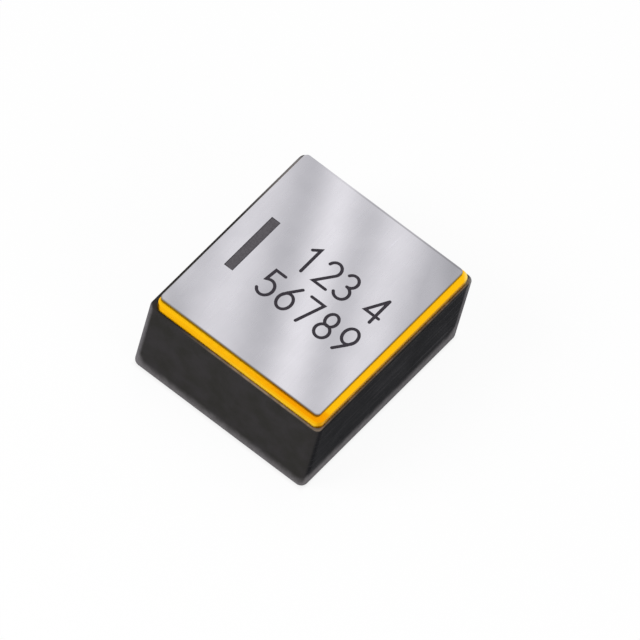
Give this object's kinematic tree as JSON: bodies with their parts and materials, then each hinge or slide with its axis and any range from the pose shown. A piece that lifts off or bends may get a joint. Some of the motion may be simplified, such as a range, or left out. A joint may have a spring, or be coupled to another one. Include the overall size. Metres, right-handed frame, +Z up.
{
  "type": "tantalum capacitor",
  "caption": "Sealed surface-mount tantalum capacitor: black ceramic case, gold-plated seal ring, metal lid with a polarity bar, solder terminals underneath.",
  "frame": {"origin": "centre of the underside, on the plane of the solder terminals", "axes": "+Z up, away from the circuit board; X along the shorter side of the body, from the anode end with the polarity bar (-X) to the cathode end (+X); Y along the longer side"},
  "size_m": [0.0108, 0.0126, 0.0059],
  "materials": {
    "black_ceramic": "matt, fired, unglazed",
    "gold_plate": "satin gold plating",
    "nickel_plate": "satin nickel plating",
    "laser_mark": "matt dark oxide",
    "sintered_tantalum": "matt, porous",
    "tantalum_wire": "drawn",
    "fluoropolymer": "smooth, waxy",
    "manganese_dioxide": "matt, granular",
    "graphite": "matt",
    "silver_paint": "matt",
    "silver_adhesive": "matt, cured",
    "nickel_strip": "rolled",
    "braze_alloy": "satin",
    "tungsten_fill": "matt, sintered"
  },
  "bodies": {
    "root": {"ceramic_case": "black_ceramic", "ring_braze": "gold_plate", "seal_ring": "gold_plate", "lid": "nickel_plate", "anode_pellet": "sintered_tantalum", "anode_wire": "tantalum_wire", "wire_washer": "fluoropolymer", "electrolyte_coat": "manganese_dioxide", "graphite_coat": "graphite", "silver_coat": "silver_paint", "cathode_adhesive": "silver_adhesive", "cathode_pad": "gold_plate", "anode_pad": "gold_plate", "anode_riser": "nickel_strip", "riser_braze": "braze_alloy", "anode_vias": "tungsten_fill", "cathode_vias": "tungsten_fill", "anode_terminal": "gold_plate", "cathode_terminal": "gold_plate"}
  },
  "joints": []
}
